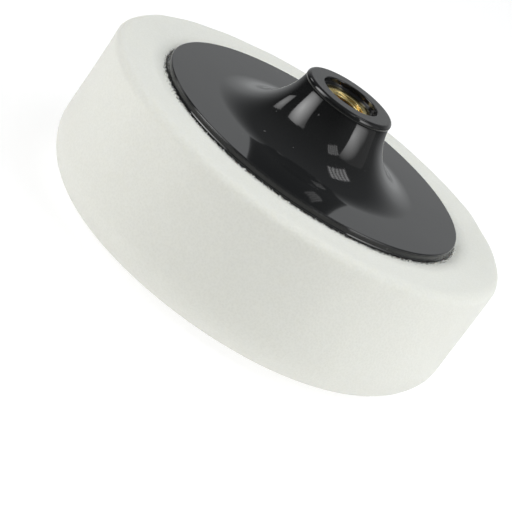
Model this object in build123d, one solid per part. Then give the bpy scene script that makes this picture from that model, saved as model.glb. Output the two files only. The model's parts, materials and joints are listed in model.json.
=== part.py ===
from build123d import *
import math
import os

# Screw-on polishing pad: a foam disc bonded to a moulded plate, whose flared hub
# holds a brass M14 x 2 insert. Millimetres. The origin is the centre of the foam's
# working face, +Z runs up the axis to the mouth of the hub.

# Foam disc
PAD_DIAMETER = 150.0
PAD_THICKNESS = 50.0
FACE_EDGE_RADIUS = 16.5     # broad rounding of the working-face edge
BACK_EDGE_RADIUS = 1.4
DISH_DEPTH = 0.9            # the back face dips this far to meet the plate
DISH_WIDTH = 6.0            # at most half of what the plate leaves of the back face

# Bond line between foam and plate
BOND_THICKNESS = 0.6
BOND_SQUEEZE_OUT = 0.4      # how far the adhesive shows past the plate's rim

# Backing plate
PLATE_DIAMETER = 112.2
PLATE_THICKNESS = 2.8
PLATE_EDGE_RADIUS = 0.6
RIM_DRAFT = 6.0             # degrees, the rim leans in towards the back face

# Hub, measured from the plate's back face
HUB_HEIGHT = 20.6
LIP_DIAMETER = 33.0
LIP_HEIGHT = 2.4
LIP_EDGE_RADIUS = 1.5
LIP_OVERHANG = 0.25         # the neck starts this far inside the lip
FLARE_RADIUS = 22.0
MOUTH_LEDGE = 1.5           # floor of the mouth, outwards from the insert's spigot
MOUTH_DEPTH = 1.9
MOUTH_CHAMFER = 0.3

# Coring under the hub, open towards the foam
HUB_WALL = 3.2
BOSS_WALL = 3.4
CORE_SLOPE = 50.0           # degrees, normal of the core's cone above the plate
CORE_LAND = 2.0             # flat at the top of the core
RIB_COUNT = 8
RIB_THICKNESS = 1.8

# Brass insert, moulded into the hub
THREAD_MAJOR = 14.0
THREAD_PITCH = 2.0
THREAD_HEIGHT = 1.0825      # of a metric internal thread on the diameter, in pitches
INSERT_LENGTH = 16.0
INSERT_RECESS = 0.6         # brass face below the floor of the mouth
INSERT_WALL = 3.0           # outside the thread's major diameter
SPIGOT_SETBACK = 1.2        # the end nearest the mouth is this much smaller in radius
SPIGOT_LENGTH = 2.0
WAIST_WIDTH = 3.0
WAIST_DEPTH = 1.0
COUNTERSINK_MARGIN = 0.4    # countersink beyond the thread's major radius
KNURL_COUNT = 24
KNURL_DEPTH = 0.5

# Derived sizes
PAD_RADIUS = PAD_DIAMETER / 2
PLATE_RADIUS = PLATE_DIAMETER / 2
LIP_RADIUS = LIP_DIAMETER / 2
NECK_RADIUS = LIP_RADIUS - LIP_OVERHANG
BOND_RADIUS = PLATE_RADIUS + BOND_SQUEEZE_OUT
THREAD_MINOR_RADIUS = (THREAD_MAJOR - THREAD_HEIGHT * THREAD_PITCH) / 2
COUNTERSINK_RADIUS = THREAD_MAJOR / 2 + COUNTERSINK_MARGIN
COUNTERSINK_DEPTH = COUNTERSINK_RADIUS - THREAD_MINOR_RADIUS
INSERT_RADIUS = THREAD_MAJOR / 2 + INSERT_WALL
SPIGOT_RADIUS = INSERT_RADIUS - SPIGOT_SETBACK
MOUTH_RADIUS = SPIGOT_RADIUS + MOUTH_LEDGE

# Levels along the axis
PLATE_BOTTOM = PAD_THICKNESS - DISH_DEPTH
POCKET_FLOOR = PLATE_BOTTOM - BOND_THICKNESS
PLATE_TOP = PLATE_BOTTOM + PLATE_THICKNESS
HUB_TOP = PLATE_TOP + HUB_HEIGHT
LIP_BOTTOM = HUB_TOP - LIP_HEIGHT
MOUTH_FLOOR = HUB_TOP - MOUTH_DEPTH
INSERT_TOP = MOUTH_FLOOR - INSERT_RECESS
INSERT_BOTTOM = INSERT_TOP - INSERT_LENGTH

# Circle of the flare: tangent to the plate, and it starts at the neck
FLARE_CENTRE_Z = PLATE_TOP + FLARE_RADIUS
FLARE_START_Z = min(LIP_BOTTOM, FLARE_CENTRE_Z)
FLARE_DROP = FLARE_CENTRE_Z - FLARE_START_Z
FLARE_CENTRE_R = NECK_RADIUS + math.sqrt(FLARE_RADIUS**2 - FLARE_DROP**2)

CUT_MARGIN = 1.0            # cutters run this far past the faces that they open
DIAGONAL = math.sqrt(0.5)   # middle of a quarter round, as a share of its radius


def revolved(edges):
    """Solid of revolution about Z of a closed outline given as edges in XZ."""
    outline = make_face(edges)
    return revolve(outline, Axis.Z, 360)


def ring_profile(points):
    """Solid of revolution about Z of a closed polygon of (radius, z) points."""
    corners = [(r, 0, z) for r, z in points]
    return revolved(Polyline(*corners, close=True).edges())


def quarter_round(side, end):
    """Outward quarter round between two (radius, z) points, on the side and the end face."""
    mid_radius = end[0] + (side[0] - end[0]) * DIAGONAL
    mid_height = side[1] + (end[1] - side[1]) * DIAGONAL
    return ThreePointArc((side[0], 0, side[1]), (mid_radius, 0, mid_height), (end[0], 0, end[1]))


def flare_point(angle):
    """Point on the flare's circle, angle from the inward horizontal, downwards."""
    radius = FLARE_CENTRE_R - FLARE_RADIUS * math.cos(angle)
    height = FLARE_CENTRE_Z - FLARE_RADIUS * math.sin(angle)
    return (radius, 0, height)


def foam_pad():
    """Foam disc with a shallow dish and a pocket for the bond on its back face."""
    face_corner = PAD_RADIUS - FACE_EDGE_RADIUS
    back_corner = PAD_RADIUS - BACK_EDGE_RADIUS
    dish_outer = BOND_RADIUS + min(DISH_WIDTH, (back_corner - BOND_RADIUS) / 2)
    back_start = PAD_THICKNESS - BACK_EDGE_RADIUS
    edges = [
        Line((0, 0, 0), (face_corner, 0, 0)),
        quarter_round((PAD_RADIUS, FACE_EDGE_RADIUS), (face_corner, 0)),
        Line((PAD_RADIUS, 0, FACE_EDGE_RADIUS), (PAD_RADIUS, 0, back_start)),
        quarter_round((PAD_RADIUS, back_start), (back_corner, PAD_THICKNESS)),
        Line((back_corner, 0, PAD_THICKNESS), (dish_outer, 0, PAD_THICKNESS)),
        Line((dish_outer, 0, PAD_THICKNESS), (BOND_RADIUS, 0, PLATE_BOTTOM)),
        Line((BOND_RADIUS, 0, PLATE_BOTTOM), (BOND_RADIUS, 0, POCKET_FLOOR)),
        Line((BOND_RADIUS, 0, POCKET_FLOOR), (0, 0, POCKET_FLOOR)),
        Line((0, 0, POCKET_FLOOR), (0, 0, 0)),
    ]
    return revolved(edges)


def adhesive_layer():
    """Bond line, a thin disc that fills the foam's pocket."""
    layer = Cylinder(BOND_RADIUS, BOND_THICKNESS)
    return Pos(0, 0, POCKET_FLOOR + BOND_THICKNESS / 2) * layer


def plate_blank():
    """Plate and flared hub as one turned shape, before any hole is opened."""
    rim_start = PLATE_TOP - PLATE_EDGE_RADIUS
    rim_edge = PLATE_RADIUS - (rim_start - PLATE_BOTTOM) * math.tan(math.radians(RIM_DRAFT))
    rim_corner = rim_edge - PLATE_EDGE_RADIUS
    lip_corner = LIP_RADIUS - LIP_EDGE_RADIUS
    lip_start = HUB_TOP - LIP_EDGE_RADIUS
    start_angle = math.asin(FLARE_DROP / FLARE_RADIUS)
    middle_angle = (start_angle + math.pi / 2) / 2
    flare_end = (FLARE_CENTRE_R, 0, PLATE_TOP)
    flare_start = (NECK_RADIUS, 0, FLARE_START_Z)
    edges = [
        Line((0, 0, PLATE_BOTTOM), (PLATE_RADIUS, 0, PLATE_BOTTOM)),
        Line((PLATE_RADIUS, 0, PLATE_BOTTOM), (rim_edge, 0, rim_start)),
        quarter_round((rim_edge, rim_start), (rim_corner, PLATE_TOP)),
        Line((rim_corner, 0, PLATE_TOP), flare_end),
        ThreePointArc(flare_end, flare_point(middle_angle), flare_start),
        Line((NECK_RADIUS, 0, LIP_BOTTOM), (LIP_RADIUS, 0, lip_start)),
        quarter_round((LIP_RADIUS, lip_start), (lip_corner, HUB_TOP)),
        Line((lip_corner, 0, HUB_TOP), (0, 0, HUB_TOP)),
        Line((0, 0, HUB_TOP), (0, 0, PLATE_BOTTOM)),
    ]
    if FLARE_START_Z < LIP_BOTTOM:
        edges.append(Line(flare_start, (NECK_RADIUS, 0, LIP_BOTTOM)))
    return revolved(edges)


def hub_mouth():
    """Cutter for the open mouth above the insert, with its edge chamfer."""
    above = HUB_TOP + CUT_MARGIN
    edge = MOUTH_RADIUS + MOUTH_CHAMFER
    return ring_profile([
        (0, INSERT_TOP),
        (SPIGOT_RADIUS, INSERT_TOP),
        (SPIGOT_RADIUS, MOUTH_FLOOR),
        (MOUTH_RADIUS, MOUTH_FLOOR),
        (MOUTH_RADIUS, HUB_TOP - MOUTH_CHAMFER),
        (edge, HUB_TOP),
        (edge, above),
        (0, above),
    ])


def hub_core():
    """Cutter for the coring under the flare, divided by radial ribs."""
    boss = INSERT_RADIUS + BOSS_WALL
    slope = math.radians(CORE_SLOPE)
    reach = FLARE_RADIUS + HUB_WALL
    base = PLATE_BOTTOM - CUT_MARGIN
    fall = math.cos(slope) / math.sin(slope)
    peak = FLARE_CENTRE_Z - (reach - (FLARE_CENTRE_R - boss) * math.cos(slope)) / math.sin(slope)
    land_z = peak - CORE_LAND * fall
    foot = boss + (peak - base) / fall
    core = ring_profile([
        (boss, base),
        (boss, land_z),
        (boss + CORE_LAND, land_z),
        (foot, base),
    ])
    rib = Box(PLATE_DIAMETER, RIB_THICKNESS, 2 * (peak - base))
    for index in range(RIB_COUNT // 2):
        turned = Rot(0, 0, 360 / RIB_COUNT * (index + 0.5)) * rib
        core -= Pos(0, 0, base) * turned
    return core


def insert_envelope():
    """Outside of the insert: spigot, knurled body and waist, without its hole."""
    waist_middle = (INSERT_BOTTOM + INSERT_TOP - SPIGOT_LENGTH) / 2
    waist_radius = INSERT_RADIUS - WAIST_DEPTH
    shoulder = INSERT_TOP - SPIGOT_LENGTH
    body = ring_profile([
        (0, INSERT_BOTTOM),
        (INSERT_RADIUS, INSERT_BOTTOM),
        (INSERT_RADIUS, waist_middle - WAIST_WIDTH / 2),
        (waist_radius, waist_middle - WAIST_WIDTH / 2),
        (waist_radius, waist_middle + WAIST_WIDTH / 2),
        (INSERT_RADIUS, waist_middle + WAIST_WIDTH / 2),
        (INSERT_RADIUS, shoulder),
        (SPIGOT_RADIUS, shoulder),
        (SPIGOT_RADIUS, INSERT_TOP),
        (0, INSERT_TOP),
    ])
    side = KNURL_DEPTH * math.sqrt(2)
    groove = Pos(INSERT_RADIUS, 0, INSERT_BOTTOM) * Rot(0, 0, 45) * Box(side, side, 3 * INSERT_LENGTH)
    for index in range(KNURL_COUNT):
        body -= Rot(0, 0, 360 / KNURL_COUNT * index) * groove
    return body


def insert_hole():
    """Cutter for the threaded hole at its minor diameter, countersunk at both ends."""
    return ring_profile([
        (0, INSERT_BOTTOM - CUT_MARGIN),
        (COUNTERSINK_RADIUS, INSERT_BOTTOM - CUT_MARGIN),
        (COUNTERSINK_RADIUS, INSERT_BOTTOM),
        (THREAD_MINOR_RADIUS, INSERT_BOTTOM + COUNTERSINK_DEPTH),
        (THREAD_MINOR_RADIUS, INSERT_TOP - COUNTERSINK_DEPTH),
        (COUNTERSINK_RADIUS, INSERT_TOP),
        (COUNTERSINK_RADIUS, INSERT_TOP + CUT_MARGIN),
        (0, INSERT_TOP + CUT_MARGIN),
    ])


def backing_plate():
    """Moulded plate and hub, cored from below and closed round the insert."""
    return plate_blank() - insert_envelope() - hub_mouth() - hub_core()


def thread_insert():
    """Knurled brass insert with its threaded hole."""
    return insert_envelope() - insert_hole()


NODES = {
    "foam_pad": foam_pad,
    "adhesive_layer": adhesive_layer,
    "backing_plate": backing_plate,
    "thread_insert": thread_insert,
}

os.makedirs("parts", exist_ok=True)
for name, make in NODES.items():
    export_step(make(), f"parts/{name}.step")
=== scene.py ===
import json
import math

import bpy
import numpy as np
from mathutils import Matrix, Vector


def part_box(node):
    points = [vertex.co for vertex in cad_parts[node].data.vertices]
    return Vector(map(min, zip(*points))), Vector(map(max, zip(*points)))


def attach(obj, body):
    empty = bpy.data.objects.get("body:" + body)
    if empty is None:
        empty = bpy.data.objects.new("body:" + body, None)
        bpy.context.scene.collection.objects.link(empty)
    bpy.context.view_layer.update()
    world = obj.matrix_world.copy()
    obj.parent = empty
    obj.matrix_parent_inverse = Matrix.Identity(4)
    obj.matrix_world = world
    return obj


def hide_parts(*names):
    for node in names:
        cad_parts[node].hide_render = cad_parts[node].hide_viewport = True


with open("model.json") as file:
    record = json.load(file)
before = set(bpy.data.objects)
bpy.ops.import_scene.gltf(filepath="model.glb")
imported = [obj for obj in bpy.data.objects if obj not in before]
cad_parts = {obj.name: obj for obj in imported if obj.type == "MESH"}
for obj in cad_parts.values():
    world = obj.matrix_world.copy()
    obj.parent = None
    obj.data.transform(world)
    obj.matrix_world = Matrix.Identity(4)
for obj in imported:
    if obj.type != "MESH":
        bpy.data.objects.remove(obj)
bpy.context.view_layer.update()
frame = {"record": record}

MM = 0.001

# ---------------------------------------------------------------- sizes, from the frame
_, FOAM_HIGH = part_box("foam_pad")
BOND_LOW, BOND_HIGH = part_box("adhesive_layer")
PLATE_LOW, PLATE_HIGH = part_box("backing_plate")
INSERT_LOW, INSERT_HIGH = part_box("thread_insert")

PAD_RADIUS = FOAM_HIGH.x
PAD_TOP = FOAM_HIGH.z
BOND_RADIUS = BOND_HIGH.x
POCKET_FLOOR = BOND_LOW.z
PLATE_RADIUS = PLATE_HIGH.x
PLATE_BOTTOM = PLATE_LOW.z
HUB_TOP = PLATE_HIGH.z
INSERT_TOP = INSERT_HIGH.z
INSERT_BOTTOM = INSERT_LOW.z
THREAD = next(m for m in frame["record"]["mounts"] if m["name"] == "spindle_thread")
MINOR_RADIUS = THREAD["dims"]["r_mm"] * MM

# ---------------------------------------------------------------- sizes of the looks
FACE_EDGE = 16.5 * MM           # rounding of the working-face edge
BACK_EDGE = 3.2 * MM            # rounding of the back face's edge
LIP_GAP = 0.25 * MM             # foam stands this far off the plate's rim
DISH_START = 6.0 * MM           # the back face starts to dip this far from the bond
DISH_DEPTH = 0.75 * MM
CENTRE = 2.0 * MM               # radius where a closed section starts and ends in a fan
RIM_THICKNESS = 2.8 * MM
PLATE_TOP = PLATE_BOTTOM + RIM_THICKNESS
PITCH = 2.0 * MM
MAJOR_RADIUS = 7.0 * MM
COUNTERSINK = 7.4 * MM
SINK_SLOPE = 1.9                # how fast the top countersink narrows with depth
INSERT_RADIUS = 10.0 * MM
SPIGOT_RADIUS = 8.8 * MM
SPIGOT_LENGTH = 2.0 * MM
WAIST_RADIUS = 9.0 * MM
WAIST_WIDTH = 3.0 * MM
KNURL_COUNT = 24
KNURL_DEPTH = 0.5 * MM
INSERT_COLUMNS = 288
THREAD_RINGS = 320
FRINGE_FRONT = 4.5 * MM         # reach of the dark crumbs and painted contact shade on the foam round the plate
FRINGE_SIDE = 2.0 * MM
SWELL_ANGLE = -145.0            # where the foam stands highest against the rim, degrees from +X
SWELL_WIDTH = 20.0
SWELL_HEIGHT = 0.4 * MM


# ---------------------------------------------------------------- helpers
def smooth_noise(count, waves, seed):
    """Closed random curve of unit spread, sampled at count angles, from its lowest waves."""
    rng = np.random.default_rng(seed)
    angle = np.linspace(0, 2 * math.pi, count, endpoint=False)
    curve = np.zeros(count)
    for wave in waves:
        curve += rng.normal() * np.cos(wave * angle) + rng.normal() * np.sin(wave * angle)
    return curve / max(curve.std(), 1e-9)


def patch_noise(rows, columns, cell_rows, cell_columns, seed):
    """Smooth random field, closed round the columns, unit spread."""
    rng = np.random.default_rng(seed)
    spectrum = np.fft.rfft2(rng.normal(size=(rows, columns)))
    row_freq = np.abs(np.fft.fftfreq(rows))[:, None] * cell_rows
    column_freq = np.fft.rfftfreq(columns)[None, :] * cell_columns
    spectrum *= np.exp(-(row_freq**2 + column_freq**2) * 2)
    field = np.fft.irfft2(spectrum, s=(rows, columns))
    field -= field.mean()
    return field / field.std()


def grid_mesh(name, points, cap_start=False, cap_end=False):
    """Mesh of a (rows, columns, 3) grid, closed round its columns; each end can close in a fan."""
    rows, columns, _ = points.shape
    verts = points.reshape(-1, 3)
    first = np.arange(rows - 1)[:, None] * columns + np.arange(columns)[None, :]
    turned = np.roll(first, -1, axis=1)
    quads = np.stack([first, turned, turned + columns, first + columns], -1).reshape(-1, 4)
    faces = [tuple(q) for q in quads.tolist()]
    extra = []
    if cap_start:
        extra.append(points[0].mean(0))
        centre = len(verts)
        faces += [(i, centre, (i + 1) % columns) for i in range(columns)]
    if cap_end:
        extra.append(points[-1].mean(0))
        centre = len(verts) + len(extra) - 1
        last = (rows - 1) * columns
        faces += [(last + i, last + (i + 1) % columns, centre) for i in range(columns)]
    if extra:
        verts = np.vstack([verts, extra])
    mesh = bpy.data.meshes.new(name)
    mesh.from_pydata(verts.tolist(), [], faces)
    mesh.validate()
    mesh.polygons.foreach_set("use_smooth", [True] * len(mesh.polygons))
    mesh.update()
    return mesh


def piece(name, mesh, material):
    """Linked object of a mesh that rides on the pad's one body."""
    made = bpy.data.objects.new(name, mesh)
    bpy.context.scene.collection.objects.link(made)
    made.data.materials.append(material)
    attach(made, "root")
    return made


def arc(centre_r, centre_z, radius, start, end, steps):
    """(radius, z) points of an arc in the half plane, angles in degrees from +radius."""
    angles = np.radians(np.linspace(start, end, steps))
    return [(centre_r + radius * math.cos(a), centre_z + radius * math.sin(a)) for a in angles]


def ring(radius, height, angle):
    """(x, y, z) points at the given angles; radius and height are numbers or arrays."""
    return np.stack([radius * np.cos(angle), radius * np.sin(angle), height + 0 * angle], -1)


def resample(outline, step):
    """(radius, z) polyline with points about one step apart, corners kept."""
    out = [outline[0]]
    for low, high in zip(outline, outline[1:]):
        count = max(1, round(math.dist(low, high) / step))
        for i in range(1, count + 1):
            share = i / count
            out.append((low[0] + (high[0] - low[0]) * share, low[1] + (high[1] - low[1]) * share))
    return np.array(out)


# ---------------------------------------------------------------- node helpers
def new_material(name):
    material = bpy.data.materials.new(name)
    material.use_nodes = True
    tree = material.node_tree
    return material, tree, tree.nodes["Principled BSDF"]


def noise_node(tree, scale, detail=2.0, roughness=0.5):
    """Noise over object coordinates; returns its Fac socket."""
    where = tree.nodes.new("ShaderNodeTexCoord")
    node = tree.nodes.new("ShaderNodeTexNoise")
    node.inputs["Scale"].default_value = scale
    node.inputs["Detail"].default_value = detail
    node.inputs["Roughness"].default_value = roughness
    tree.links.new(where.outputs["Object"], node.inputs["Vector"])
    return node.outputs["Fac"]


def ramp(tree, source, low, high, colour_low, colour_high):
    """Two-stop colour ramp."""
    node = tree.nodes.new("ShaderNodeValToRGB")
    node.color_ramp.elements[0].position = low
    node.color_ramp.elements[1].position = high
    node.color_ramp.elements[0].color = (*colour_low, 1)
    node.color_ramp.elements[1].color = (*colour_high, 1)
    tree.links.new(source, node.inputs["Fac"])
    return node.outputs["Color"]


def map_range(tree, source, low, high, to_low, to_high):
    node = tree.nodes.new("ShaderNodeMapRange")
    node.inputs["From Min"].default_value = low
    node.inputs["From Max"].default_value = high
    node.inputs["To Min"].default_value = to_low
    node.inputs["To Max"].default_value = to_high
    tree.links.new(source, node.inputs["Value"])
    return node.outputs["Result"]


def math_node(tree, operation, first, second):
    """Maths on a socket and a socket or a number."""
    node = tree.nodes.new("ShaderNodeMath")
    node.operation = operation
    tree.links.new(first, node.inputs[0])
    if isinstance(second, (int, float)):
        node.inputs[1].default_value = second
    else:
        tree.links.new(second, node.inputs[1])
    return node.outputs["Value"]


def bump(tree, height, distance, strength, under=None):
    node = tree.nodes.new("ShaderNodeBump")
    node.inputs["Distance"].default_value = distance
    node.inputs["Strength"].default_value = strength
    tree.links.new(height, node.inputs["Height"])
    if under is not None:
        tree.links.new(under, node.inputs["Normal"])
    return node.outputs["Normal"]


# ---------------------------------------------------------------- materials
def object_axes(tree):
    """Object coordinates, the same split into X, Y and Z, and the distance from the axis."""
    where = tree.nodes.new("ShaderNodeTexCoord")
    split = tree.nodes.new("ShaderNodeSeparateXYZ")
    flat = tree.nodes.new("ShaderNodeCombineXYZ")
    radius = tree.nodes.new("ShaderNodeVectorMath")
    radius.operation = "LENGTH"
    tree.links.new(where.outputs["Object"], split.inputs["Vector"])
    tree.links.new(split.outputs["X"], flat.inputs["X"])
    tree.links.new(split.outputs["Y"], flat.inputs["Y"])
    tree.links.new(flat.outputs["Vector"], radius.inputs[0])
    return where.outputs["Object"], split, radius.outputs["Value"]


def multiply(tree, factor, first, second):
    """First colour multiplied by the second, by a fixed factor."""
    node = tree.nodes.new("ShaderNodeMix")
    node.data_type = "RGBA"
    node.blend_type = "MULTIPLY"
    node.inputs["Factor"].default_value = factor
    tree.links.new(first, node.inputs["A"])
    tree.links.new(second, node.inputs["B"])
    return node.outputs["Result"]


def crumbs_and_painted_shade(tree):
    """Dark crumbs and painted contact shade on the back face, dense at the plate's rim and gone a few
    millimetres out.
    """
    where, split, radius = object_axes(tree)
    reach = map_range(tree, split.outputs["Y"], -PLATE_RADIUS, 0.0, FRINGE_FRONT, FRINGE_SIDE)
    past = math_node(tree, "SUBTRACT", radius, PLATE_RADIUS)
    share = math_node(tree, "DIVIDE", past, reach)
    beside = map_range(tree, share, 0.0, 1.0, 0.52, 0.0)
    low = map_range(tree, split.outputs["Z"], PAD_TOP - 3 * MM, PAD_TOP - 2 * MM, -0.6, 0.0)
    near = math_node(tree, "ADD", beside, low)
    stretch = tree.nodes.new("ShaderNodeMapping")
    stretch.inputs["Scale"].default_value = (1.0, 0.45, 1.0)
    tree.links.new(where, stretch.inputs["Vector"])
    crumbs = tree.nodes.new("ShaderNodeTexNoise")
    crumbs.inputs["Scale"].default_value = 3000.0
    crumbs.inputs["Detail"].default_value = 1.0
    tree.links.new(stretch.outputs["Vector"], crumbs.inputs["Vector"])
    total = math_node(tree, "ADD", near, crumbs.outputs["Fac"])
    # crumbs darken to near black by the rim: partly dark crumbs, partly painted contact shade
    return ramp(tree, total, 0.86, 0.95, (1, 1, 1), (0.06, 0.06, 0.06))


def foam_material():
    """Fine open-cell foam: matt, slightly translucent, with a cell-scale grain."""
    material, tree, shader = new_material("white_foam")
    shader.inputs["Roughness"].default_value = 0.95
    shader.inputs["Specular IOR Level"].default_value = 0.12
    shader.inputs["Subsurface Weight"].default_value = 0.35
    shader.inputs["Subsurface Radius"].default_value = (1.0, 0.95, 0.8)
    shader.inputs["Subsurface Scale"].default_value = 0.003
    shader.inputs["Sheen Weight"].default_value = 0.1
    shader.inputs["Sheen Roughness"].default_value = 0.6
    broad = noise_node(tree, 22.0, 3.0, 0.6)
    colour = ramp(tree, broad, 0.3, 0.7, (0.728, 0.730, 0.678), (0.742, 0.745, 0.692))
    where = tree.nodes.new("ShaderNodeTexCoord")
    cells = tree.nodes.new("ShaderNodeTexVoronoi")
    cells.feature = "F1"
    cells.inputs["Scale"].default_value = 1300.0
    tree.links.new(where.outputs["Object"], cells.inputs["Vector"])
    pores = ramp(tree, cells.outputs["Distance"], 0.1, 0.75, (0.9, 0.9, 0.89), (1.0, 1.0, 1.0))
    grained = multiply(tree, 0.45, colour, pores)
    # the foam darkens round the plate: dark crumbs mixed with painted contact shade
    soiled_and_shaded = multiply(tree, 1.0, grained, crumbs_and_painted_shade(tree))
    tree.links.new(soiled_and_shaded, shader.inputs["Base Color"])
    grain = noise_node(tree, 900.0, 2.0, 0.7)
    first = bump(tree, grain, 0.0003, 0.2)
    second = bump(tree, cells.outputs["Distance"], 0.00025, 0.22, first)
    tree.links.new(second, shader.inputs["Normal"])
    return material


def plastic_material():
    """Glossy black moulded plastic: faint flow marks, a little dust, a matt face on the hub."""
    material, tree, shader = new_material("black_plastic")
    shader.inputs["IOR"].default_value = 1.5
    flow = noise_node(tree, 35.0, 2.0, 0.4)
    gloss = noise_node(tree, 160.0, 4.0, 0.65)
    dust = noise_node(tree, 700.0, 1.0, 0.5)
    split = object_axes(tree)[1]
    # base colour a shade darker up the hub than on the flat plate
    rise = map_range(tree, split.outputs["Z"], PLATE_TOP, PLATE_TOP + 8 * MM, 0, 1)
    darker_up_the_hub = ramp(tree, rise, 0.1, 0.9, (0.0125, 0.013, 0.0135), (0.0085, 0.0088, 0.009))
    specks = map_range(tree, dust, 0.79, 0.82, 0, 1)
    base = tree.nodes.new("ShaderNodeMix")
    base.data_type = "RGBA"
    tree.links.new(specks, base.inputs["Factor"])
    tree.links.new(darker_up_the_hub, base.inputs["A"])
    base.inputs["B"].default_value = (0.09, 0.09, 0.09, 1)
    tree.links.new(base.outputs["Result"], shader.inputs["Base Color"])
    polished = map_range(tree, gloss, 0.3, 0.7, 0.045, 0.085)
    matt = map_range(tree, split.outputs["Z"], HUB_TOP - 0.25 * MM, HUB_TOP - 0.05 * MM, 0, 0.17)
    tree.links.new(math_node(tree, "ADD", polished, matt), shader.inputs["Roughness"])
    fine = noise_node(tree, 1500.0, 1.0, 0.5)
    first = bump(tree, flow, 0.0004, 0.12)
    second = bump(tree, fine, 0.00002, 0.12, first)
    tree.links.new(second, shader.inputs["Normal"])
    return material


def brass_material():
    """Bright turned brass: fine turning rings, a faint tarnish, painted shade deeper in the bore and
    in the thread roots.
    """
    material, tree, shader = new_material("turned_brass")
    shader.inputs["Metallic"].default_value = 1.0
    _, split, radius = object_axes(tree)
    z = split.outputs["Z"]
    # painted shade: the colour darkens and browns with depth in the bore, added to random tarnish
    # blotches
    depth_shade = map_range(tree, z, INSERT_TOP - 4.5 * MM, INSERT_TOP - 1.5 * MM, 0.4, 0.0)
    blotch = noise_node(tree, 420.0, 3.0, 0.6)
    tarnish_and_painted_shade = math_node(tree, "ADD", depth_shade, blotch)
    colour = ramp(tree, tarnish_and_painted_shade, 0.5, 1.1, (1.0, 0.84, 0.40), (0.55, 0.34, 0.08))
    # painted shade in the thread roots below the countersink
    root = map_range(tree, radius, MINOR_RADIUS + 0.5 * MM, MAJOR_RADIUS - 0.1 * MM, 0, 1)
    below = map_range(tree, z, INSERT_TOP - 1.0 * MM, INSERT_TOP - 0.7 * MM, 1, 0)
    shaded = tree.nodes.new("ShaderNodeMix")
    shaded.data_type = "RGBA"
    tree.links.new(math_node(tree, "MULTIPLY", root, below), shaded.inputs["Factor"])
    tree.links.new(colour, shaded.inputs["A"])
    shaded.inputs["B"].default_value = (0.4, 0.2, 0.035, 1)
    tree.links.new(shaded.outputs["Result"], shader.inputs["Base Color"])
    rings = tree.nodes.new("ShaderNodeTexNoise")
    rings.noise_dimensions = "1D"
    rings.inputs["Scale"].default_value = 9000.0
    tree.links.new(radius, rings.inputs["W"])
    rough = map_range(tree, rings.outputs["Fac"], 0.3, 0.7, 0.2, 0.32)
    tree.links.new(rough, shader.inputs["Roughness"])
    tree.links.new(bump(tree, rings.outputs["Fac"], 0.00002, 0.25), shader.inputs["Normal"])
    return material


def adhesive_material():
    """Cured adhesive: dull, slightly yellow grey, uneven."""
    material, tree, shader = new_material("clear_adhesive")
    shader.inputs["Subsurface Weight"].default_value = 0.2
    shader.inputs["Subsurface Scale"].default_value = 0.001
    blotch = noise_node(tree, 500.0, 3.0, 0.6)
    colour = ramp(tree, blotch, 0.4, 0.6, (0.05, 0.05, 0.048), (0.3, 0.3, 0.29))
    tree.links.new(colour, shader.inputs["Base Color"])
    tree.links.new(map_range(tree, blotch, 0.3, 0.7, 0.3, 0.55), shader.inputs["Roughness"])
    tree.links.new(bump(tree, blotch, 0.0002, 0.5), shader.inputs["Normal"])
    return material


# ---------------------------------------------------------------- foam
FOAM_COLUMNS = 1600
FOAM_STEP = 0.9 * MM


def foam_outline():
    """Closed section of the foam from the middle of the working face round to the pocket."""
    wall = PLATE_RADIUS + LIP_GAP
    outline = [(CENTRE, 0.0), (PAD_RADIUS - FACE_EDGE, 0.0)]
    outline += arc(PAD_RADIUS - FACE_EDGE, FACE_EDGE, FACE_EDGE, -90, 0, 24)[1:]
    outline += arc(PAD_RADIUS - BACK_EDGE, PAD_TOP - BACK_EDGE, BACK_EDGE, 0, 90, 9)
    dip = BOND_RADIUS + DISH_START
    for i in range(1, 13):
        share = i / 12
        fall = (1 - math.cos(math.pi * share)) / 2
        outline.append((dip + (wall + 0.45 * MM - dip) * share, PAD_TOP - DISH_DEPTH * fall))
    outline += [
        (wall + 0.25 * MM, PAD_TOP - 0.78 * MM),
        (wall + 0.12 * MM, PAD_TOP - 0.86 * MM),
        (wall + 0.04 * MM, PLATE_BOTTOM - 0.05 * MM),
        (wall, PLATE_BOTTOM - 0.2 * MM),
        (BOND_RADIUS, POCKET_FLOOR),
        (CENTRE, POCKET_FLOOR),
    ]
    return outline


def nearness(section, radius, height, reach):
    """1 at one place on the section, falling off with the distance from it; as a column."""
    away = np.hypot(section[:, 0] - radius, section[:, 1] - height)
    return np.exp(-(away / reach) ** 2)[:, None]


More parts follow.
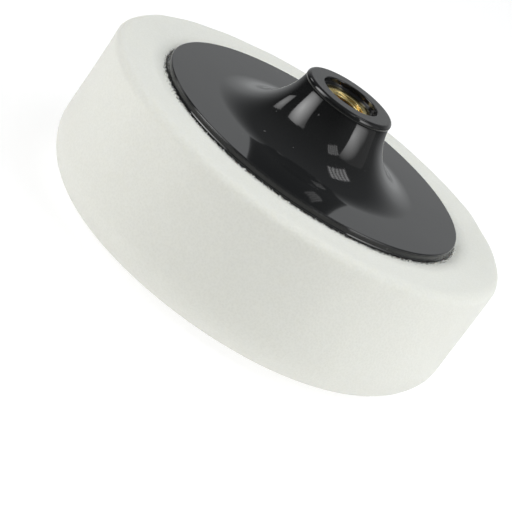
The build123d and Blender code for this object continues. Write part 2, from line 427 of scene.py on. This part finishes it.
def foam_pad(material):
    """Cut foam disc: a little out of round and uneven, ragged and swollen round the plate."""
    section = resample(foam_outline(), FOAM_STEP)
    rows, columns = len(section), FOAM_COLUMNS
    angle = np.linspace(0, 2 * math.pi, columns, endpoint=False)
    radius = np.repeat(section[:, :1], columns, axis=1)
    height = np.repeat(section[:, 1:], columns, axis=1)
    tangent = np.gradient(section, axis=0)
    length = np.maximum(np.hypot(tangent[:, 0], tangent[:, 1]), 1e-9)
    normal_r = (tangent[:, 1] / length)[:, None]
    normal_z = (-tangent[:, 0] / length)[:, None]

    outer = np.clip((section[:, 0] - 0.5 * PAD_RADIUS) / (0.5 * PAD_RADIUS), 0, 1)[:, None]
    seated = np.clip(section[:, 1] / (12 * MM), 0, 1)[:, None]
    near_lip = nearness(section, PLATE_RADIUS + 0.6 * MM, PLATE_BOTTOM, 1.1 * MM)
    at_lip = nearness(section, PLATE_RADIUS + 0.35 * MM, PLATE_BOTTOM + 0.1 * MM, 0.5 * MM)
    hidden = (section[:, 0] < BOND_RADIUS + 0.1 * MM)[:, None] & (section[:, 1] > 10 * MM)[:, None]
    covered = np.where(hidden, 0.0, 1.0)

    out_of_round = smooth_noise(columns, range(2, 7), 11)[None, :] * 0.2 * MM
    waves = patch_noise(rows, columns, 22, 50, 12) * 0.10 * MM
    cells = patch_noise(rows, columns, 0.9, 2.4, 13) * 0.008 * MM
    ragged = patch_noise(rows, columns, 0.7, 1.6, 14) * 0.12 * MM
    tide = smooth_noise(columns, range(3, 24), 15)[None, :] * 0.05 * MM
    off_front = np.degrees(np.angle(np.exp(1j * (angle - math.radians(SWELL_ANGLE)))))
    swell = np.exp(-(off_front / SWELL_WIDTH) ** 2)[None, :] * SWELL_HEIGHT
    torn = patch_noise(1, columns, 0, 0.6, 16) * 0.22 * MM

    push = (out_of_round * outer + waves * outer) * seated * (1 - near_lip) + cells * covered
    push += (ragged + tide) * near_lip * covered
    radius = radius + push * normal_r
    height = height + push * normal_z + (torn * at_lip + swell * near_lip) * covered
    wall = PLATE_RADIUS + 0.08 * MM
    above = height > PLATE_BOTTOM - 0.3 * MM
    radius = np.where(above & (section[:, :1] < wall + 3 * MM), np.maximum(radius, wall), radius)
    height = np.maximum(height, 0.0)
    points = np.stack([radius * np.cos(angle), radius * np.sin(angle), height], -1)
    mesh = grid_mesh("foam_pad_skin", points, cap_start=True, cap_end=True)
    made = piece("foam_pad_skin", mesh, material)
    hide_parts("foam_pad")
    return made


# ---------------------------------------------------------------- bond line
def bond_line(material):
    """Adhesive disc with an uneven edge just past the plate's rim."""
    columns = 720
    angle = np.linspace(0, 2 * math.pi, columns, endpoint=False)
    spread = smooth_noise(columns, range(2, 40), 21) * 0.10 * MM
    swell = smooth_noise(columns, range(3, 60), 22) * 0.05 * MM
    section = [
        (CENTRE, POCKET_FLOOR, 0),
        (BOND_RADIUS - 3 * MM, POCKET_FLOOR, 0),
        (BOND_RADIUS - 0.4 * MM, POCKET_FLOOR + 0.02 * MM, 0),
        (BOND_RADIUS - 0.18 * MM, POCKET_FLOOR + 0.15 * MM, 1),
        (BOND_RADIUS - 0.1 * MM, POCKET_FLOOR + 0.32 * MM, 1),
        (BOND_RADIUS - 0.14 * MM, PLATE_BOTTOM - 0.05 * MM, 1),
        (BOND_RADIUS - 0.3 * MM, PLATE_BOTTOM, 1),
        (PLATE_RADIUS - 0.2 * MM, PLATE_BOTTOM - 0.01 * MM, 0),
        (CENTRE, PLATE_BOTTOM - 0.01 * MM, 0),
    ]
    rings = []
    for r, z, edge in section:
        radius = r + edge * np.clip(spread, -0.2 * MM, 0.1 * MM)
        height = z + edge * np.clip(swell, -0.1 * MM, 0.0)
        rings.append(ring(radius, height, angle))
    mesh = grid_mesh("bond_line", np.array(rings), cap_start=True, cap_end=True)
    made = piece("bond_line", mesh, material)
    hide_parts("adhesive_layer")
    return made


# ---------------------------------------------------------------- brass insert
def insert_outline():
    """Outside and end faces of the insert, bottom to top, as (radius, z, knurl share)."""
    shoulder = INSERT_TOP - SPIGOT_LENGTH
    waist = (INSERT_BOTTOM + shoulder) / 2
    return [
        (COUNTERSINK, INSERT_BOTTOM, 0),
        (INSERT_RADIUS, INSERT_BOTTOM, 1),
        (INSERT_RADIUS, waist - WAIST_WIDTH / 2, 1),
        (WAIST_RADIUS, waist - WAIST_WIDTH / 2, 0),
        (WAIST_RADIUS, waist + WAIST_WIDTH / 2, 0),
        (INSERT_RADIUS, waist + WAIST_WIDTH / 2, 1),
        (INSERT_RADIUS, shoulder, 1),
        (SPIGOT_RADIUS, shoulder, 0),
        (SPIGOT_RADIUS, INSERT_TOP - 0.15 * MM, 0),
        (SPIGOT_RADIUS - 0.15 * MM, INSERT_TOP, 0),
        (COUNTERSINK, INSERT_TOP, 0),
    ]


def thread_radius(angle, height):
    """Wall of a 60 degree internal thread with rounded flats, by angle and height."""
    phase = (height / PITCH - angle / (2 * math.pi)) % 1.0
    rise = np.clip((0.5 - np.abs(phase - 0.5)) * 3.2 - 0.4, 0, 1)
    rise = rise * rise * (3 - 2 * rise)
    return MINOR_RADIUS + (MAJOR_RADIUS - MINOR_RADIUS) * rise


def thread_insert(material):
    """Knurled brass insert whose bore carries a real helical thread."""
    angle = np.linspace(0, 2 * math.pi, INSERT_COLUMNS, endpoint=False)
    knurl_phase = (angle * KNURL_COUNT / (2 * math.pi)) % 1.0
    knurl = np.clip(1 - np.abs(knurl_phase - 0.5) * 8, 0, 1) * KNURL_DEPTH
    rings = []
    for radius, height, knurled in insert_outline():
        rings.append(ring(radius - knurled * knurl, height, angle))
    for height in np.linspace(INSERT_TOP - 0.02 * MM, INSERT_BOTTOM + 0.02 * MM, THREAD_RINGS):
        from_top = COUNTERSINK - SINK_SLOPE * (INSERT_TOP - height)
        from_bottom = COUNTERSINK - (height - INSERT_BOTTOM)
        cone = max(from_top, from_bottom, MINOR_RADIUS)
        radius = np.maximum(thread_radius(angle, height), cone)
        rings.append(ring(radius, height, angle))
    rings.append(ring(COUNTERSINK, INSERT_BOTTOM, angle))
    mesh = grid_mesh("thread_insert_turned", np.array(rings))
    made = piece("thread_insert_turned", mesh, material)
    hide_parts("thread_insert")
    return made


# ---------------------------------------------------------------- backing plate
FLARE_RADIUS = 22.0 * MM
NECK_RADIUS = 16.33 * MM
LIP_RADIUS = 16.52 * MM
LIP_HEIGHT = 2.9 * MM
MOUTH_RADIUS = 10.3 * MM
MOUTH_DEPTH = 1.9 * MM
PLATE_COLUMNS = 720


def rounded(corners, steps=9):
    """(radius, z) polyline through corners given as (radius, z, fillet radius)."""
    out = []
    for index, (r, z, fillet) in enumerate(corners):
        here = np.array([r, z])
        if fillet <= 0 or index in (0, len(corners) - 1):
            out.append(tuple(here))
            continue
        back = np.array(corners[index - 1][:2]) - here
        ahead = np.array(corners[index + 1][:2]) - here
        back /= np.linalg.norm(back)
        ahead /= np.linalg.norm(ahead)
        half = math.acos(np.clip(back @ ahead, -1, 1)) / 2
        setback = fillet / math.tan(half)
        middle = (back + ahead) / np.linalg.norm(back + ahead)
        centre = here + middle * fillet / math.sin(half)
        start = here + back * setback - centre
        end = here + ahead * setback - centre
        for share in np.linspace(0, 1, steps):
            spoke = start * (1 - share) + end * share
            out.append(tuple(centre + spoke / np.linalg.norm(spoke) * fillet))
    return out


def guarded(outline, guard):
    """Adds a point close inside each end of every long run, so its shading stays flat."""
    out = [outline[0]]
    for low, high in zip(outline, outline[1:]):
        low, high = np.array(low), np.array(high)
        length = np.linalg.norm(high - low)
        if length > 4 * guard:
            out.append(tuple(low + (high - low) * guard / length))
            out.append(tuple(high - (high - low) * guard / length))
        out.append(tuple(high))
    return out


def plate_outline():
    """Section of the plate and hub from the middle of its bonded face to the insert's seat."""
    centre_z = PLATE_TOP + FLARE_RADIUS
    lip_start = HUB_TOP - LIP_HEIGHT
    centre_r = NECK_RADIUS + math.sqrt(FLARE_RADIUS**2 - (centre_z - lip_start) ** 2)
    first = math.degrees(math.asin((centre_z - lip_start) / FLARE_RADIUS))
    rim = rounded([
        (1 * MM, PLATE_BOTTOM, 0),
        (PLATE_RADIUS, PLATE_BOTTOM, 0.15 * MM),
        (PLATE_RADIUS - 0.07 * MM, PLATE_BOTTOM + 0.70 * MM, 0.05 * MM),
        (PLATE_RADIUS - 0.21 * MM, PLATE_BOTTOM + 1.0 * MM, 0.05 * MM),
        (PLATE_RADIUS - 0.22 * MM, PLATE_TOP - 0.62 * MM, 0.06 * MM),
        (PLATE_RADIUS - 0.32 * MM, PLATE_TOP - 0.52 * MM, 0.06 * MM),
        (PLATE_RADIUS - 0.34 * MM, PLATE_TOP, 0.4 * MM),
        (centre_r, PLATE_TOP, 0),
    ])
    flare = arc(centre_r, centre_z, FLARE_RADIUS, 270, 180 + first, 60)
    hub = rounded([
        (*flare[-1], 0),
        (NECK_RADIUS - 0.13 * MM, lip_start + 0.9 * MM, 4.4 * MM),
        (LIP_RADIUS - 0.06 * MM, HUB_TOP, 1.2 * MM),
        (MOUTH_RADIUS, HUB_TOP, 0.35 * MM),
        (MOUTH_RADIUS, HUB_TOP - MOUTH_DEPTH, 0.25 * MM),
        (SPIGOT_RADIUS, HUB_TOP - MOUTH_DEPTH, 0.2 * MM),
        (SPIGOT_RADIUS, INSERT_TOP - SPIGOT_LENGTH, 0),
        (INSERT_RADIUS, INSERT_TOP - SPIGOT_LENGTH, 0),
        (INSERT_RADIUS, INSERT_BOTTOM, 0),
        (1 * MM, INSERT_BOTTOM, 0),
    ], 11)
    return guarded(rim[:-1] + flare + hub[1:], 0.06 * MM)


def backing_plate(material):
    """Moulded plate and flared hub, with two fine mould steps along the rim."""
    section = np.array(plate_outline())
    angle = np.linspace(0, 2 * math.pi, PLATE_COLUMNS, endpoint=False)
    points = ring(section[:, :1], section[:, 1:], angle)
    mesh = grid_mesh("backing_plate_moulded", points, cap_start=True, cap_end=True)
    made = piece("backing_plate_moulded", mesh, material)
    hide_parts("backing_plate")
    return made


# ---------------------------------------------------------------- stage, lights and camera
FILL_ABOVE = 3.1                # radiance of each fill screen
FILL_LEFT = 4.7
FILL_RIGHT = 2.9
FILL_FRONT = 1.35
POOL_BRIGHT = 0.72              # light table's own glow, near the pad and far off
POOL_DIM = 0.4
FLOOR_REACH = 4.0
FLOOR_DROP = 0.4 * MM           # keeps the floor clear of the face that rests on it
PANEL_DISTANCE = 1.1
FILL_DISTANCE = 1.3
CAMERA_ELEVATION = 19.62        # degrees above the plate's plane
CAMERA_ROLL = 35.4
CAMERA_LENS = 183.78            # mm on a 36 mm sensor
ORIGIN_AHEAD = 871.73 * MM      # the pad's origin, from the camera
ORIGIN_RIGHT = -8.68 * MM
ORIGIN_DOWN = 3.87 * MM


def camera():
    """Long lens, tilted and rolled so that the pad stands as in the reference view."""
    lift = math.radians(CAMERA_ELEVATION)
    roll = math.radians(CAMERA_ROLL)
    across = Vector((math.cos(roll), math.sin(roll), 0))
    axis = Vector((math.sin(roll) * math.cos(lift), -math.cos(roll) * math.cos(lift), -math.sin(lift)))
    away = axis.cross(across)
    to_camera = Matrix((across, away, axis)).transposed()
    origin = Vector((ORIGIN_RIGHT, ORIGIN_DOWN, ORIGIN_AHEAD))
    flip = Matrix(((1, 0, 0), (0, -1, 0), (0, 0, -1)))
    turn = to_camera.transposed() @ flip
    made = bpy.data.objects.new("camera", bpy.data.cameras.new("camera"))
    made.data.lens = CAMERA_LENS
    made.data.sensor_width = 36.0
    made.data.clip_start = 0.05
    made.data.clip_end = 50.0
    made.matrix_world = Matrix.Translation(to_camera.transposed() @ -origin) @ turn.to_4x4()
    bpy.context.scene.collection.objects.link(made)
    bpy.context.scene.camera = made


def toward(azimuth, elevation):
    """Unit vector: azimuth 0 is the camera's side, 90 is +X; elevation above the horizon."""
    a, e = math.radians(azimuth), math.radians(elevation)
    return Vector((math.sin(a) * math.cos(e), -math.cos(a) * math.cos(e), math.sin(e)))


def panel(name, corners, radiance, hot=(0.5, 0.5), reach=1.0, edge=1.0, slats=0):
    """Light panel, its corners given as (azimuth, elevation), brightest round one spot.

    The brightness falls to the share edge over the length reach, in shares of the panel.
    With slats, bright bands alternate with dark ones along the first side. It shows in glossy
    surfaces only: it lights nothing else and casts no shadow."""
    hub = Vector((0, 0, HUB_TOP))
    places = [hub + toward(*corner) * PANEL_DISTANCE for corner in corners]
    mesh = bpy.data.meshes.new(name)
    mesh.from_pydata([tuple(p) for p in places], [], [(0, 1, 2, 3)])
    layer = mesh.uv_layers.new(name="across")
    for loop, uv in zip(layer.data, ((0, 0), (1, 0), (1, 1), (0, 1))):
        loop.uv = uv
    material = bpy.data.materials.new(name)
    material.use_nodes = True
    tree = material.node_tree
    tree.nodes.clear()
    where = tree.nodes.new("ShaderNodeTexCoord")
    spot = tree.nodes.new("ShaderNodeVectorMath")
    spot.operation = "DISTANCE"
    spot.inputs[1].default_value = (*hot, 0)
    tree.links.new(where.outputs["UV"], spot.inputs[0])
    level = map_range(tree, spot.outputs["Value"], 0, reach, radiance, radiance * edge)
    if slats:
        split = tree.nodes.new("ShaderNodeSeparateXYZ")
        tree.links.new(where.outputs["UV"], split.inputs["Vector"])
        wave = math_node(tree, "PINGPONG", split.outputs["X"], 0.5 / slats)
        bands = map_range(tree, wave, 0.15 / slats, 0.35 / slats, 0.25, 1)
        level = math_node(tree, "MULTIPLY", level, bands)
    shine = tree.nodes.new("ShaderNodeEmission")
    end = tree.nodes.new("ShaderNodeOutputMaterial")
    tree.links.new(level, shine.inputs["Strength"])
    tree.links.new(shine.outputs["Emission"], end.inputs["Surface"])
    mesh.materials.append(material)
    made = bpy.data.objects.new(name, mesh)
    bpy.context.scene.collection.objects.link(made)
    made.visible_camera = False
    made.visible_diffuse = False
    made.visible_shadow = False


def studio():
    """What the plastic mirrors: a softbox each side, a small one, and two slatted windows."""
    left = [(-82, -8), (-47, -9), (-49, 54), (-91, 44)]
    panel("softbox_left", left, 8.0, hot=(0.38, 0.54), reach=0.62, edge=0.16)
    rear = [(-122, 12), (-107, 12), (-111, 35), (-125, 31)]
    panel("softbox_left_rear", rear, 2.8, reach=0.8, edge=0.3)
    right = [(47, -9), (106, -12), (112, 36), (60, 56)]
    panel("softbox_right", right, 5.6, hot=(0.1, 0.44), reach=0.58, edge=0.07)
    right_window = [(104, 75), (98, 58), (130, 54), (148, 64)]
    panel("window_low", right_window, 3.2, slats=5)
    front_window = [(22, 55), (39, 46), (60, 55), (42, 66)]
    panel("window_high", front_window, 2.6, slats=5)


def fill(name, azimuth, elevation, size, radiance, colour=(1, 1, 1)):
    """Square diffusing screen that lights the matt surfaces and leaves no highlight."""
    light = bpy.data.lights.new(name, "AREA")
    light.shape = "SQUARE"
    light.size = size
    light.energy = radiance * math.pi * size**2
    light.color = colour
    way = toward(azimuth, elevation)
    made = bpy.data.objects.new(name, light)
    made.location = Vector((0, 0, HUB_TOP)) + way * FILL_DISTANCE
    made.rotation_mode = "QUATERNION"
    made.rotation_quaternion = (-way).to_track_quat("-Z", "Y")
    made.visible_glossy = False
    made.visible_camera = False
    bpy.context.scene.collection.objects.link(made)


def fills():
    """Soft fill from above, from each side and from the camera's side."""
    fill("fill_above", 90, 64, 1.0, FILL_ABOVE, colour=(0.97, 1.0, 1.02))
    fill("fill_left", -75, 28, 0.8, FILL_LEFT)
    fill("fill_right", 80, 29, 0.8, FILL_RIGHT)
    fill("fill_front", 0, 15, 0.8, FILL_FRONT)


def lobe(tree, source, low, high, other, other_low, other_high, strength):
    """Brightness that rises with one part of the direction and fades with another."""
    first = map_range(tree, source, low, high, 0, strength)
    second = map_range(tree, other, other_low, other_high, 1, 0)
    return math_node(tree, "MULTIPLY", first, second)


def surroundings():
    """Dim room: a pale wall low on the far side and a dimmer one on the right."""
    world = bpy.data.worlds.new("room")
    bpy.context.scene.world = world
    world.use_nodes = True
    tree = world.node_tree
    back = tree.nodes["Background"]
    where = tree.nodes.new("ShaderNodeTexCoord")
    split = tree.nodes.new("ShaderNodeSeparateXYZ")
    tree.links.new(where.outputs["Generated"], split.inputs["Vector"])
    x, y, z = split.outputs["X"], split.outputs["Y"], split.outputs["Z"]
    wall = lobe(tree, y, 0.55, 1.0, z, 0.26, 0.66, 0.57)
    side = lobe(tree, x, 0.1, 0.8, z, 0.4, 1.1, 0.19)
    ceiling = map_range(tree, z, 0.3, 0.9, 0.04, 0.15)
    walls = math_node(tree, "ADD", wall, side)
    total = math_node(tree, "ADD", ceiling, walls)
    sunk = map_range(tree, z, -0.2, 0.04, 0.5, 1.0)
    tree.links.new(math_node(tree, "MULTIPLY", total, sunk), back.inputs["Strength"])
    back.inputs["Color"].default_value = (0.97, 0.99, 1.0, 1)


def floor():
    """Pale light table, bright round the pad and dimmer further out."""
    material, tree, shader = new_material("pale_floor")
    shade = noise_node(tree, 3.0)
    colour = ramp(tree, shade, 0.2, 0.8, (0.35, 0.35, 0.35), (0.37, 0.37, 0.37))
    tree.links.new(colour, shader.inputs["Base Color"])
    shader.inputs["Roughness"].default_value = 0.9
    shader.inputs["Specular IOR Level"].default_value = 0.1
    shader.inputs["Emission Color"].default_value = (1, 1, 1, 1)
    where = tree.nodes.new("ShaderNodeTexCoord")
    away = tree.nodes.new("ShaderNodeVectorMath")
    away.operation = "LENGTH"
    tree.links.new(where.outputs["Object"], away.inputs[0])
    pool = map_range(tree, away.outputs["Value"], 0.6, 1.1, POOL_BRIGHT, POOL_DIM)
    tree.links.new(pool, shader.inputs["Emission Strength"])
    signs = ((-1, -1), (1, -1), (1, 1), (-1, 1))
    corners = [(x * FLOOR_REACH, y * FLOOR_REACH, -FLOOR_DROP) for x, y in signs]
    mesh = bpy.data.meshes.new("floor")
    mesh.from_pydata(corners, [], [(0, 1, 2, 3)])
    mesh.materials.append(material)
    made = bpy.data.objects.new("floor", mesh)
    made.visible_glossy = False
    bpy.context.scene.collection.objects.link(made)


bpy.context.scene.view_settings.view_transform = "Standard"
camera()
studio()
fills()
surroundings()
floor()

foam_pad(foam_material())
bond_line(adhesive_material())
thread_insert(brass_material())
backing_plate(plastic_material())
